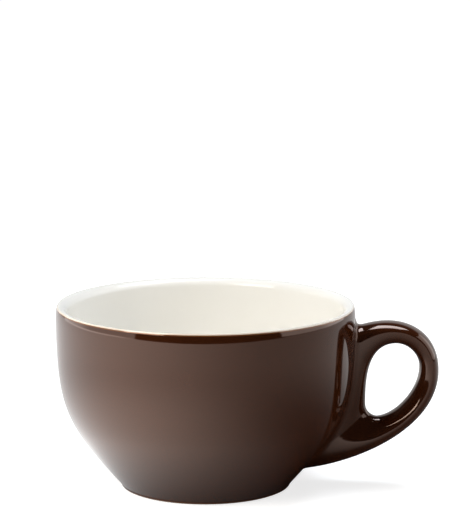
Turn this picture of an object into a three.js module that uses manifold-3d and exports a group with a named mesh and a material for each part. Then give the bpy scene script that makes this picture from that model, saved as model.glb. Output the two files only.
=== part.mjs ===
// Latte cup: a glazed stoneware bowl with an ear-shaped handle, brown outside and cream inside.
// Millimetres, +Z up. The foot rests on z = 0 and the handle points along +X.
// The origin is under the middle of the overall length, so the bowl's axis lies at x = -HANDLE_REACH / 2.

import * as THREE from "three";
import { mergeVertices } from "three/addons/utils/BufferGeometryUtils.js";
import Module from "manifold-3d";

const { degToRad, lerp, smoothstep } = THREE.MathUtils;
const wasm = await Module();
wasm.setup();

// Bowl
const HEIGHT = 68;
const RIM_RADIUS = 55.3;
const RIM_WALL = 4.2;
const FOOT_WALL = 6;
const WALL_LEAN = degToRad(0.8);
const FLARE_ANGLE = degToRad(41.3);
const LOWER_BELLY_PULL = 31.8;
const UPPER_BELLY_PULL = 34;
const FLOOR_ROUNDING = 12;

// Lip: its crest stands in from the outer face, and rounds over to both faces of the wall
const LIP_CREST = 0.9;
const LIP_OUTER_DROP = 4.5;
const LIP_INNER_DROP = 3;

// Foot: a ring with a rounded outer edge and a shallow recess inside it
const FOOT_RADIUS = 31.6;
const FOOT_EDGE = 1.2;
const FOOT_RING_WIDTH = 3.4;
const RECESS_DEPTH = 2.8;
const RECESS_ROUNDING = 1.6;
const BASE_THICKNESS = 4.4;

// Glaze coats and the slip under the handle
const GLAZE = 0.4;
const SLIP = 0.6;
const SLIP_SETBACK = 0.5;
const BOND_GAP = 0.1;
const RIM_COLOUR_LINE = 0.5;
const FOOT_COLOUR_LINE = 0.3;
const RECESS_COLOUR_LINE = 0.8;

// Finger hole: where its edge is furthest up, out, down and in, measured from a point in the hole
const HOLE_CENTRE_OUT = 11.2;
const HOLE_CENTRE_DOWN = 34;
const HOLE_UP = 19.5;
const HOLE_TOP_OUT = 3.8;
const HOLE_OUT = 12.6;
const HOLE_TIP_UP = 10.6;
const HOLE_DOWN = 8.3;
const HOLE_BOTTOM_IN = 3;
const HOLE_IN = 7.3;
const HOLE_BACK_DOWN = 3.1;

// How long the hole's edge keeps its direction on each side of those four places
const HOLE_TOP_PULL_IN = 10.2;
const HOLE_TOP_PULL_OUT = 4.6;
const HOLE_TIP_PULL_UP = 4.5;
const HOLE_TIP_PULL_DOWN = 9.6;
const HOLE_BOTTOM_PULL_OUT = 6;
const HOLE_BOTTOM_PULL_IN = 0.8;
const HOLE_BACK_PULL_DOWN = 4.2;
const HOLE_BACK_PULL_UP = 9.8;

// Handle: the ring of clay round the finger hole, with its crown, tip, tail and a ridge along its flanks
const STRAND_TOP = 8.2;
const STRAND_TIP = 7.2;
const CROWN_OUT = 0.6;
const CROWN_PULL_IN = 6;
const CROWN_PULL_OUT = 11.4;
const TIP_UP = 9.1;
const TIP_PULL_UP = 11.4;
const TIP_PULL_DOWN = 24.2;
const TAIL_RISE = 5.7;
const TAIL_PULL = 16.6;
const TIP_WIDTH = 12;
const RIDGE_SHARE = 0.65;

// Root: where the ring runs into the wall
const ROOT_FALL = 3.1;
const ROOT_WIDTH = 14.4;
const ROOT_DEPTH = 11;
const ROOT_FILLET = 2.5;
const ROOT_SINK = 3;

// Facets
const TURN_SEGMENTS = 40;
const WALL_STEPS = 11;
const CORNER_STEPS = 4;
const ROUND_STEPS = 3;
const FREE_SECTIONS = 28;
const ROOT_SECTIONS = 16;
const SKIN_STEPS = 8;
const EDGE_CROWDING = 1.6;
const OUTLINE_STEPS = 40;
const HALVINGS = 30;
const SLOPE_STEP = 0.5;
const NORMAL_STEP = 0.01;

const HANDLE_REACH = HOLE_CENTRE_OUT + HOLE_OUT + STRAND_TIP;
const FLOOR_HEIGHT = RECESS_DEPTH + BASE_THICKNESS;
const CLAY_INSET = GLAZE + BOND_GAP;
const CREST_RADIUS = RIM_RADIUS - LIP_CREST;
const CONTACT_RADIUS = FOOT_RADIUS - FOOT_EDGE;
const RECESS_RADIUS = CONTACT_RADIUS - FOOT_RING_WIDTH;

const vec2 = (x, y) => new THREE.Vector2(x, y);

// Solids

// A closed mesh with shared corners, ready to be joined and cut.
function solidOf(geometry) {
  const bare = geometry.clone();
  bare.deleteAttribute("normal");
  bare.deleteAttribute("uv");
  const merged = mergeVertices(bare, 1e-4);
  const corners = merged.index.array;
  const triangles = [];
  for (let i = 0; i < corners.length; i += 3) {
    const [a, b, c] = corners.slice(i, i + 3);
    if (a !== b && b !== c && c !== a) triangles.push(a, b, c);
  }
  const mesh = new wasm.Mesh({
    numProp: 3,
    vertProperties: new Float32Array(merged.attributes.position.array),
    triVerts: new Uint32Array(triangles),
  });
  return new wasm.Manifold(mesh);
}

// The drawable geometry of a solid.
function geometryOf(solid) {
  const { vertProperties, triVerts } = solid.getMesh();
  const geometry = new THREE.BufferGeometry();
  geometry.setAttribute("position", new THREE.BufferAttribute(new Float32Array(vertProperties), 3));
  geometry.setIndex(new THREE.BufferAttribute(new Uint32Array(triVerts), 1));
  geometry.computeVertexNormals();
  return geometry;
}

// A profile of radius and height turned about the bowl's axis.
function revolve(profile) {
  return new THREE.LatheGeometry(profile, TURN_SEGMENTS).rotateX(Math.PI / 2);
}

// Bowl profiles: an inset of 0 is the glazed surface, and a larger one lies deeper in the wall

// The outer wall: one cubic from the flare above the foot to the upright wall under the lip.
const footTop = vec2(FOOT_RADIUS, FOOT_EDGE);
const wallTop = vec2(RIM_RADIUS, HEIGHT - LIP_OUTER_DROP);
const wallCurve = new THREE.CubicBezierCurve(
  footTop,
  footTop.clone().add(vec2(Math.sin(FLARE_ANGLE), Math.cos(FLARE_ANGLE)).multiplyScalar(LOWER_BELLY_PULL)),
  wallTop.clone().sub(vec2(Math.sin(WALL_LEAN), Math.cos(WALL_LEAN)).multiplyScalar(UPPER_BELLY_PULL)),
  wallTop,
);

// Places up the outer wall, each with the direction that faces out and the wall's thickness there.
const stations = Array.from({ length: WALL_STEPS + 1 }, (_, i) => {
  const share = i / WALL_STEPS;
  const along = wallCurve.getTangent(share);
  const wall = lerp(FOOT_WALL, RIM_WALL, share);
  return { point: wallCurve.getPoint(share), out: vec2(along.y, -along.x), wall };
});
const outerFace = ({ point, out }, inset) => point.clone().addScaledVector(out, -inset);
const innerFace = ({ point, out, wall }, inset) => point.clone().addScaledVector(out, inset - wall);
const outerWall = (inset) => stations.map((station) => outerFace(station, inset));

// A quarter round from one angle to another, with its own reach along the radius and the height.
function quarter(centre, reachOut, reachUp, from, to) {
  return Array.from({ length: ROUND_STEPS + 1 }, (_, i) => {
    const angle = lerp(from, to, i / ROUND_STEPS);
    return vec2(centre.x + reachOut * Math.cos(angle), centre.y + reachUp * Math.sin(angle));
  });
}

// The lip's outer round, upwards between two heights.
function lipOuter(inset, from, to) {
  const centre = vec2(CREST_RADIUS, HEIGHT - LIP_OUTER_DROP);
  const reachUp = LIP_OUTER_DROP - inset;
  const angleAt = (height) => Math.asin(Math.min((height - centre.y) / reachUp, 1));
  return quarter(centre, LIP_CREST - inset, reachUp, angleAt(from), angleAt(to));
}

// The lip's inner round, from its crest down to the inner wall.
function lipInner(inset) {
  const centre = vec2(CREST_RADIUS, HEIGHT - LIP_INNER_DROP);
  const reachOut = RIM_WALL - LIP_CREST - inset;
  return quarter(centre, reachOut, LIP_INNER_DROP - inset, Math.PI / 2, Math.PI);
}

// The inner wall follows the outer one from under the lip down to the rounding of the floor.
const innerStations = stations.filter((station) => {
  const { y } = innerFace(station, 0);
  return y > FLOOR_HEIGHT + FLOOR_ROUNDING && y < HEIGHT - LIP_INNER_DROP - LIP_CREST;
});

// The inside, downwards from under the lip to the middle of the floor.
function inside(inset) {
  const wall = innerStations.map((station) => innerFace(station, inset));
  const { out } = innerStations[0];
  const floor = FLOOR_HEIGHT - inset;
  const fall = wall[0].y - floor;
  const knee = vec2(wall[0].x + (fall * out.y) / out.x, floor);
  const floorEdge = vec2(knee.x - knee.distanceTo(wall[0]), floor);
  const corner = new THREE.QuadraticBezierCurve(wall[0], knee, floorEdge).getPoints(CORNER_STEPS);
  return [...wall.slice(1).reverse(), ...corner, vec2(0, floor)];
}

// The foot's rounded outer edge, upwards from the height where a coat begins.
function footEdge(inset, from = 0) {
  const centre = vec2(CONTACT_RADIUS, FOOT_EDGE);
  const start = Math.asin((from - FOOT_EDGE) / FOOT_EDGE);
  return quarter(centre, FOOT_EDGE - inset, FOOT_EDGE, start, 0);
}

// The recess under the base, from its middle to its side; a larger lining lies further into the recess.
function recess(lining, bottom) {
  const round = RECESS_ROUNDING - lining;
  const ceiling = RECESS_DEPTH + CLAY_INSET - lining;
  const centre = vec2(RECESS_RADIUS - lining - round, ceiling - round);
  const corner = quarter(centre, round, round, Math.PI / 2, 0);
  return [vec2(0, ceiling), ...corner, vec2(RECESS_RADIUS - lining, bottom)];
}

// The bowl filled solid up to a height, with its outer face at the given inset.
function filledBowl(inset, from, to) {
  const lip = lipOuter(inset, HEIGHT - LIP_OUTER_DROP, Math.min(to, HEIGHT - inset)).slice(1);
  const face = [...footEdge(inset, from), ...outerWall(inset).slice(1), ...lip];
  return revolve([vec2(0, from), ...face, vec2(0, face.at(-1).y)]);
}

// Handle: a ring of oval sections round the finger hole, with a fillet where it meets the wall

const holeCentre = vec2(RIM_RADIUS + HOLE_CENTRE_OUT, HEIGHT - HOLE_CENTRE_DOWN);

// The outer wall's radius at a height.
function wallRadius(height) {
  const above = stations.findIndex(({ point }) => point.y > height);
  if (above === 0) return FOOT_RADIUS;
  if (above < 0) return RIM_RADIUS;
  const [low, high] = [stations[above - 1].point, stations[above].point];
  return lerp(low.x, high.x, (height - low.y) / (high.y - low.y));
}

// How fast the wall's radius grows with height.
function wallSlope(height) {
  return (wallRadius(height + SLOPE_STEP) - wallRadius(height - SLOPE_STEP)) / (2 * SLOPE_STEP);
}

// The direction that faces out of the wall beside a point.
function wallNormal({ x, y, z }) {
  const around = Math.atan2(y, x);
  return new THREE.Vector3(Math.cos(around), Math.sin(around), -wallSlope(z)).normalize();
}

// How far a point stands out from the wall's face at the given inset.
function wallClearance({ x, y, z }, inset) {
  return (Math.hypot(x, y) - wallRadius(z)) / Math.hypot(1, wallSlope(z)) + inset;
}

// A curve between two places that keeps the pull's direction at each end.
function sweep(from, fromPull, toPull, to) {
  return new THREE.CubicBezierCurve(from, from.clone().add(fromPull), to.clone().add(toPull), to);
}
function outlineOf(curves) {
  const outline = new THREE.CurvePath();
  curves.forEach((curve) => outline.add(curve));
  return outline;
}

// The finger hole: an egg with its narrow end low against the wall.
const holeTop = vec2(HOLE_TOP_OUT, HOLE_UP);
const holeTip = vec2(HOLE_OUT, HOLE_TIP_UP);
const holeBottom = vec2(-HOLE_BOTTOM_IN, -HOLE_DOWN);
const holeBack = vec2(-HOLE_IN, -HOLE_BACK_DOWN);
const holeOutline = outlineOf([
  sweep(holeTop, vec2(HOLE_TOP_PULL_OUT, 0), vec2(0, HOLE_TIP_PULL_UP), holeTip),
  sweep(holeTip, vec2(0, -HOLE_TIP_PULL_DOWN), vec2(HOLE_BOTTOM_PULL_OUT, 0), holeBottom),
  sweep(holeBottom, vec2(-HOLE_BOTTOM_PULL_IN, 0), vec2(0, -HOLE_BACK_PULL_DOWN), holeBack),
  sweep(holeBack, vec2(0, HOLE_BACK_PULL_UP), vec2(-HOLE_TOP_PULL_IN, 0), holeTop),
]);

// The outer edge: crown, tip and a long tail that runs in under the belly, closed inside the wall.
const crown = vec2(CROWN_OUT, HOLE_UP + STRAND_TOP);
const tip = vec2(HOLE_OUT + STRAND_TIP, TIP_UP);
const tail = vec2(wallRadius(TAIL_RISE) - ROOT_SINK, TAIL_RISE).sub(holeCentre);
const shoulder = vec2(-HOLE_CENTRE_OUT - ROOT_SINK, crown.y - ROOT_FALL);
const rootBack = vec2(wallRadius(holeCentre.y) - ROOT_DEPTH - holeCentre.x, 0);
const outerOutline = outlineOf([
  sweep(crown, vec2(CROWN_PULL_OUT, 0), vec2(0, TIP_PULL_UP), tip),
  sweep(tip, vec2(0, -TIP_PULL_DOWN), vec2(TAIL_PULL, 0), tail),
  new THREE.QuadraticBezierCurve(tail, rootBack, shoulder),
  new THREE.QuadraticBezierCurve(shoulder, vec2(crown.x - CROWN_PULL_IN, crown.y), crown),
]);

// A closed outline as a distance from the hole's centre at each angle.
function polar(outline) {
  const samples = outline.getPoints(OUTLINE_STEPS).map((p) => ({ angle: p.angle(), reach: p.length() }));
  samples.sort((a, b) => a.angle - b.angle);
  const first = samples[0];
  const last = samples.at(-1);
  samples.unshift({ angle: last.angle - 2 * Math.PI, reach: last.reach });
  samples.push({ angle: first.angle + 2 * Math.PI, reach: first.reach });
  return (angle) => {
    const turned = THREE.MathUtils.euclideanModulo(angle, 2 * Math.PI);
    const next = samples.findIndex((sample) => sample.angle >= turned);
    const [a, b] = [samples[Math.max(next - 1, 0)], samples[next]];
    return a === b ? a.reach : lerp(a.reach, b.reach, (turned - a.angle) / (b.angle - a.angle));
  };
}
const holeReach = polar(holeOutline);
const outerReach = polar(outerOutline);

// A point on the ring. The turn is the angle round the hole, and the roll goes from the hole's edge at 0
// to the outer edge at pi. A section is widest at its ridge, and a quarter oval runs from there to each edge.
function ringPoint(turn, roll, inset) {
  const near = holeReach(turn) + inset;
  const far = outerReach(turn) - inset;
  const middle = (near + far) / 2;
  const spread = smoothstep(middle * Math.cos(turn) + HOLE_CENTRE_OUT, 0, HANDLE_REACH);
  const halfWidth = lerp(ROOT_WIDTH, TIP_WIDTH, spread) / 2 - inset;
  const ridge = lerp(near, far, RIDGE_SHARE);
  const toEdge = roll < Math.PI / 2 ? ridge - near : far - ridge;
  const reach = ridge - toEdge * Math.cos(roll);
  return new THREE.Vector3(
    holeCentre.x + reach * Math.cos(turn),
    -halfWidth * Math.sin(roll),
    holeCentre.y + reach * Math.sin(turn),
  );
}

// The direction that faces out of the ring.
function ringNormal(turn, roll, inset) {
  const round = ringPoint(turn + NORMAL_STEP, roll, inset).sub(ringPoint(turn - NORMAL_STEP, roll, inset));
  const across = ringPoint(turn, roll + NORMAL_STEP, inset).sub(ringPoint(turn, roll - NORMAL_STEP, inset));
  return across.cross(round).normalize();
}

// The point between two values where a falling measure reaches zero.
function whereZero(measure, from, to) {
  let [low, high] = [from, to];
  for (let i = 0; i < HALVINGS; i += 1) {
    const middle = (low + high) / 2;
    if (measure(middle) > 0) low = middle;
    else high = middle;
  }
  return (low + high) / 2;
}

// The ring's point slid along the wall onto the root's fillet: a parabola that touches the ring and the wall
// at the same distance from their corner, so the square roots of its distances along both add up.
function skinPoint(turn, roll, inset) {
  const point = ringPoint(turn, roll, inset);
  const normal = ringNormal(turn, roll, inset);
  const out = wallNormal(point);
  const facing = normal.dot(out);
  const clearance = wallClearance(point, inset);
  const rise = Math.max(clearance, 0) / Math.sqrt(1 - facing ** 2);
  const reach = ROOT_FILLET * Math.sqrt((1 - facing) / (1 + facing));
  if (rise >= reach) return point;
  const slide = (Math.sqrt(reach) - Math.sqrt(rise)) ** 2;
  point.addScaledVector(normal.addScaledVector(out, -facing).normalize(), slide);
  return point.addScaledVector(out, clearance - wallClearance(point, inset));
}

// Sections round the hole, closer together at both ends of the root. Each ends on the outer edge or, at the
// root, where the glazed ring meets the wall.
const clearanceAtEdge = (turn) => wallClearance(ringPoint(turn, Math.PI, 0), 0);
const rootTop = whereZero(clearanceAtEdge, Math.PI / 2, Math.PI);
const rootEnd = whereZero((turn) => -clearanceAtEdge(turn), Math.PI, 1.5 * Math.PI);
function eased(from, to, count) {
  return Array.from({ length: count }, (_, i) => lerp(from, to, (1 - Math.cos((Math.PI * i) / count)) / 2));
}
const freeSections = eased(rootEnd, rootTop + 2 * Math.PI, FREE_SECTIONS).map((turn) => {
  return { turn, lastRoll: Math.PI, atWall: false };
});
const rootSections = eased(rootTop, rootEnd, ROOT_SECTIONS).map((turn, i) => {
  const clearance = (roll) => wallClearance(ringPoint(turn, roll, 0), 0);
  return { turn, lastRoll: i ? whereZero(clearance, 0, Math.PI) : Math.PI, atWall: i > 0 };
});

// One section at an inset: the front half from the hole's edge outwards, and the back half returned.
// A section at the wall is closed a little way inside it.
function sectionLoop({ turn, lastRoll, atWall }, inset) {
  const front = Array.from({ length: SKIN_STEPS + 1 }, (_, i) => {
    const left = 1 - i / SKIN_STEPS;
    return skinPoint(turn, lastRoll * (1 - left ** EDGE_CROWDING), inset);
  });
  const edge = front.at(-1);
  front[0].y = 0;
  if (!atWall) edge.y = 0;
  const sunk = edge.clone();
  if (atWall) sunk.x -= ROOT_SINK;
  const half = [...front, sunk];
  const back = half.slice(1).map((p) => new THREE.Vector3(p.x, -p.y, p.z));
  return [...half, ...back.reverse()];
}

// The handle's closed skin at an inset.
function handleSkin(inset) {
  const rings = [...rootSections, ...freeSections].map((section) => sectionLoop(section, inset));
  const around = rings[0].length;
  const index = [];
  rings.forEach((_, i) => {
    const here = i * around;
    const next = ((i + 1) % rings.length) * around;
    for (let j = 0; j < around; j += 1) {
      const k = (j + 1) % around;
      index.push(here + j, next + k, next + j, here + j, here + k, next + k);
    }
  });
  return new THREE.BufferGeometry().setFromPoints(rings.flat()).setIndex(index);
}

// Finishes
const bareClay = () => new THREE.MeshStandardMaterial({ color: 0xd8cdbb, roughness: 0.85, metalness: 0 });
const brownGlaze = () => new THREE.MeshStandardMaterial({ color: 0x3a1b10, roughness: 0.12, metalness: 0 });
const creamGlaze = () => new THREE.MeshStandardMaterial({ color: 0xefe9dc, roughness: 0.15, metalness: 0 });

// Pieces

// The clay bowl with its lip, floor and foot ring.
function cupBody() {
  const profile = [
    ...recess(0, 0),
    ...footEdge(CLAY_INSET),
    ...outerWall(CLAY_INSET).slice(1),
    ...lipOuter(CLAY_INSET, HEIGHT - LIP_OUTER_DROP, HEIGHT).slice(1),
    ...lipInner(CLAY_INSET).slice(1),
    ...inside(CLAY_INSET),
  ];
  return revolve(profile);
}

// The clay handle, cut back from the wall by the slip that bonds it.
function handle() {
  const seat = filledBowl(GLAZE - SLIP - BOND_GAP, FOOT_COLOUR_LINE, HEIGHT);
  return geometryOf(solidOf(handleSkin(CLAY_INSET)).subtract(solidOf(seat)));
}

// The slip between the handle's root and the wall.
function joiningSlip() {
  const layer = solidOf(filledBowl(GLAZE - SLIP, FOOT_COLOUR_LINE, HEIGHT))
    .subtract(solidOf(filledBowl(GLAZE, 0, HEIGHT)));
  return geometryOf(solidOf(handleSkin(CLAY_INSET + SLIP_SETBACK)).intersect(layer));
}

// The brown coat over the outside of the bowl and the handle, from the foot's edge to the lip.
function brownCoat() {
  const top = HEIGHT - RIM_COLOUR_LINE;
  const outer = solidOf(filledBowl(0, FOOT_COLOUR_LINE, top)).add(solidOf(handleSkin(0)));
  const clay = solidOf(filledBowl(GLAZE, 0, HEIGHT)).add(solidOf(handleSkin(GLAZE)));
  return geometryOf(outer.subtract(clay));
}

// The cream coat over the inside and the lip, down to the colour line on the lip's outer round.
function creamCoat() {
  const edge = HEIGHT - RIM_COLOUR_LINE + BOND_GAP;
  const face = (inset) => [
    ...lipOuter(inset, edge, HEIGHT),
    ...lipInner(inset).slice(1),
    ...inside(inset),
  ];
  return revolve([...face(GLAZE).reverse(), ...face(0)]);
}

// The glaze in the recess under the base.
function baseCoat() {
  const face = (lining) => recess(lining, RECESS_COLOUR_LINE);
  return revolve([...face(BOND_GAP + GLAZE), ...face(BOND_GAP).reverse()]);
}

const cup = new THREE.Group();
cup.position.x = -HANDLE_REACH / 2;
function addPiece(name, geometry, material) {
  const mesh = new THREE.Mesh(geometry, material);
  mesh.name = name;
  cup.add(mesh);
}
addPiece("cup_body", cupBody(), bareClay());
addPiece("handle", handle(), bareClay());
addPiece("joining_slip", joiningSlip(), bareClay());
addPiece("brown_glaze", brownCoat(), brownGlaze());
addPiece("cream_glaze", creamCoat(), creamGlaze());
addPiece("base_glaze", baseCoat(), brownGlaze());

export default cup;
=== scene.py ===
"""Latte cup: glazed skins, bare clay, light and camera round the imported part.

Sizes are millimetres about the bowl's own axis, with the table at height 0 and the handle along +X.
A piece is moved to the part's frame, in metres, when its mesh is made.
"""

import logging
import math
from dataclasses import dataclass, field
from enum import Enum
from functools import cached_property
from typing import Any

import bpy
import numpy as np
from bpy.types import Material, Node, NodeSocket, NodeTree, Object
from mathutils import Matrix


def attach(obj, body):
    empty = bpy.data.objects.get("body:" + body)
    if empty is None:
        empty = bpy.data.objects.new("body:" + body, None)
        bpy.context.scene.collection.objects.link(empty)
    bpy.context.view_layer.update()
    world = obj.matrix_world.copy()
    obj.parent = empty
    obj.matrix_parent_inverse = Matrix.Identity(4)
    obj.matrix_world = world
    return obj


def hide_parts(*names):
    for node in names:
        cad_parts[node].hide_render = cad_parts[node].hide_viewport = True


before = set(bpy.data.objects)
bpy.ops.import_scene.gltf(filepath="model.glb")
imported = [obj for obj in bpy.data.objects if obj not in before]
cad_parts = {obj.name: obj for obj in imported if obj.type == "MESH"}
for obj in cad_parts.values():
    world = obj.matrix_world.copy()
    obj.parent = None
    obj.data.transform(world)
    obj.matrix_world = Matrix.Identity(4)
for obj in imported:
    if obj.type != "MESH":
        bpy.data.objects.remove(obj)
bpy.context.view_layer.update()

Array = np.ndarray
LOG = logging.getLogger("latte_cup")
MM = 0.001
BODY = "root"
GLAZE = 0.4
BOND_GAP = 0.1
CLAY_INSET = GLAZE + BOND_GAP
WELD_DIGITS = 4
SHARP_ANGLE = math.radians(35)
TINY = 1e-12
SMOOTH = {"interpolation_type": "SMOOTHSTEP"}


class Slot(Enum):
    """The record's material slots."""

    BARE_CLAY = "bare_clay"
    BROWN_GLAZE = "brown_glaze"
    CREAM_GLAZE = "cream_glaze"


class Facing(Enum):
    """The side of a grid that its faces show: as the grid is wound, or the other."""

    OUT = 1
    IN = -1


class Sought(Enum):
    """What is sought where the ring meets the wall: a section's roll, or the outer edge's turn."""

    ROLL = "roll"
    TURN = "turn"


def linear(colour: str) -> tuple[float, float, float, float]:
    """Turns an sRGB hex colour to linear light.

    Args:
        colour: six hex digits after a hash sign.

    Returns:
        Red, green, blue and an alpha of 1.
    """
    coded = np.array([int(colour[i : i + 2], 16) for i in (1, 3, 5)]) / 255
    light = np.where(coded <= 0.04045, coded / 12.92, ((coded + 0.055) / 1.055) ** 2.4)
    return (*light.tolist(), 1.0)


def set_inputs(tree: NodeTree, node: Node, inputs: dict[Any, Any]) -> None:
    """Links or sets some of a node's inputs.

    Args:
        tree: the tree that holds the node.
        node: the node.
        inputs: by input name or number, a node to link from by its first output, a socket to link
            from, or a value to set.
    """
    for key, value in inputs.items():
        if isinstance(value, Node):
            value = value.outputs[0]
        if isinstance(value, NodeSocket):
            tree.links.new(value, node.inputs[key])
        else:
            node.inputs[key].default_value = value


def add_node(
    tree: NodeTree, kind: str, inputs: dict[Any, Any] | None = None, **settings: Any
) -> Node:
    """Adds one node.

    Args:
        tree: the tree that takes the node.
        kind: the node's type name.
        inputs: what its inputs are linked from or set to.
        **settings: the node's own properties.

    Returns:
        The new node.
    """
    node = tree.nodes.new(kind)
    for name, value in settings.items():
        setattr(node, name, value)
    set_inputs(tree, node, inputs or {})
    return node


def start_finish(name: str) -> tuple[Material, NodeTree, NodeSocket]:
    """Starts a material whose patterns read Object coordinates.

    Args:
        name: the material's name.

    Returns:
        The material, its tree and the socket with the coordinates.
    """
    made = bpy.data.materials.new(name)
    made.use_nodes = True
    tree = made.node_tree
    return made, tree, add_node(tree, "ShaderNodeTexCoord").outputs["Object"]


def close_finish(
    tree: NodeTree,
    base: str,
    layers: tuple[tuple[Node, str], ...],
    relief: Node,
    depth_mm: float,
    inputs: dict[str, Any],
) -> None:
    """Lays a finish's colours over one another, each by its own share, and joins them and its
    relief to the surface.

    Args:
        tree: the material's tree.
        base: the lowest colour.
        layers: the share of each further colour, and the colour.
        relief: how high the surface stands, from 0 to 1.
        depth_mm: the height of a relief of 1.
        inputs: the surface's other inputs.
    """
    colour = linear(base)
    for share, other in layers:
        both = {0: share, 6: colour, 7: linear(other)}
        colour = add_node(tree, "ShaderNodeMix", both, data_type="RGBA").outputs[2]
    bump = add_node(tree, "ShaderNodeBump", {"Height": relief, "Distance": depth_mm * MM})
    surface = tree.nodes["Principled BSDF"]
    set_inputs(tree, surface, {"Base Color": colour, "Normal": bump, **inputs})


def dress(piece: Object, material: Material, slot: Slot, *nodes: str) -> None:
    """Gives a piece its finish and its body, and hides the nodes that it stands for.

    Args:
        piece: the finished piece.
        material: its finish.
        slot: the record's slot that the finish belongs to; not used.
        *nodes: the nodes that it replaces.
    """
    piece.data.materials.append(material)
    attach(piece, BODY)
    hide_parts(*nodes)
    LOG.info("%s: %d faces", piece.name, len(piece.data.polygons))


def bezier(control: Array, share: Array) -> Array:
    """A curve drawn by its control points: neighbours are blended by the share until one is left.

    Args:
        control: the control points, each a pair.
        share: places along the curve, 0 to 1.

    Returns:
        One pair for each share.
    """
    layer = np.repeat(np.asarray(control, float)[:, None, :], len(share), axis=1)
    while len(layer) > 1:
        layer = layer[:-1] + (layer[1:] - layer[:-1]) * share[None, :, None]
    return layer[0]


def eased(value: Array, start: float, end: float) -> Array:
    """A smooth step from 0 at the start to 1 at the end."""
    share = np.clip((value - start) / (end - start), 0, 1)
    return share * share * (3 - 2 * share)


def quarter(centre: Array, reach: Array, start: float, end: float, steps: int) -> Array:
    """An elliptic round: the centre plus its reaches times the cosine and the sine of the angle.

    Args:
        centre: radius and height of the centre.
        reach: how far the round goes along the radius and the height.
        start: first angle.
        end: last angle.
        steps: number of steps between them.

    Returns:
        Pairs of radius and height.
    """
    angle = np.linspace(start, end, steps + 1)
    return centre + reach * np.stack([np.cos(angle), np.sin(angle)], axis=1)


def turned(profile: Array, around: Array) -> Array:
    """A surface of revolution: (radius cos angle, radius sin angle, height).

    Args:
        profile: pairs of radius and height, one a row.
        around: angles about the axis, one a column.

    Returns:
        A grid of points.
    """
    radius, height = profile[:, :1], profile[:, 1:]
    level = np.broadcast_to(height, (len(profile), len(around)))
    return np.stack([radius * np.cos(around), radius * np.sin(around), level], axis=-1)


@dataclass
class Skin:
    """Grids of points in millimetres that are stitched into one mesh."""

    blocks: list[Array] = field(default_factory=list)
    quads: list[Array] = field(default_factory=list)
    count: int = 0

    def add(
        self,
        grid: Array,
        facing: Facing = Facing.OUT,
        closed: bool = False,
        keep: Array | None = None,
    ) -> None:
        """Adds a grid as quads between neighbouring rows and columns.

        Args:
            grid: rows by columns of points.
            facing: the side that shows.
            closed: whether the last column joins the first.
            keep: which quads are wanted, by row and column, or all of them.
        """
        rows, columns = grid.shape[:2]
        index = self.count + np.arange(rows * columns).reshape(rows, columns)
        if closed:
            index = np.concatenate([index, index[:, :1]], axis=1)
        corners = [index[:-1, :-1], index[:-1, 1:], index[1:, 1:], index[1:, :-1]]
        quads = np.stack(corners, axis=-1)
        quads = quads.reshape(-1, 4) if keep is None else quads[keep]
        self.quads.append(quads[:, :: facing.value])
        self.blocks.append(grid.reshape(-1, 3))
        self.count += rows * columns

    def build(self, name: str, centre_x: float) -> Object:
        """Welds points that fall together, drops what no face uses and makes the object.

        Args:
            name: the object's name.
            centre_x: where the bowl's axis lies in the part's frame.

        Returns:
            A smooth object at the origin with its place in its mesh.
        """
        points = np.concatenate(self.blocks)
        rounded = np.round(points, WELD_DIGITS)
        _, first, welded = np.unique(rounded, axis=0, return_index=True, return_inverse=True)
        quads = welded.reshape(-1)[np.concatenate(self.quads)]
        used, quads = np.unique(quads, return_inverse=True)
        quads = quads.reshape(-1, 4)
        points = (points[first][used] + [centre_x, 0, 0]) * MM
        pinched = quads == np.roll(quads, -1, axis=1)
        whole = quads[~pinched.any(axis=1)]
        corner = pinched.sum(axis=1) == 1
        triangles = quads[corner][~pinched[corner]].reshape(-1, 3)
        mesh = bpy.data.meshes.new(name)
        mesh.from_pydata(points.tolist(), [], whole.tolist() + triangles.tolist())
        mesh.shade_smooth()
        mesh.set_sharp_from_angle(angle=SHARP_ANGLE)
        piece = bpy.data.objects.new(name, mesh)
        bpy.context.scene.collection.objects.link(piece)
        return piece


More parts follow.
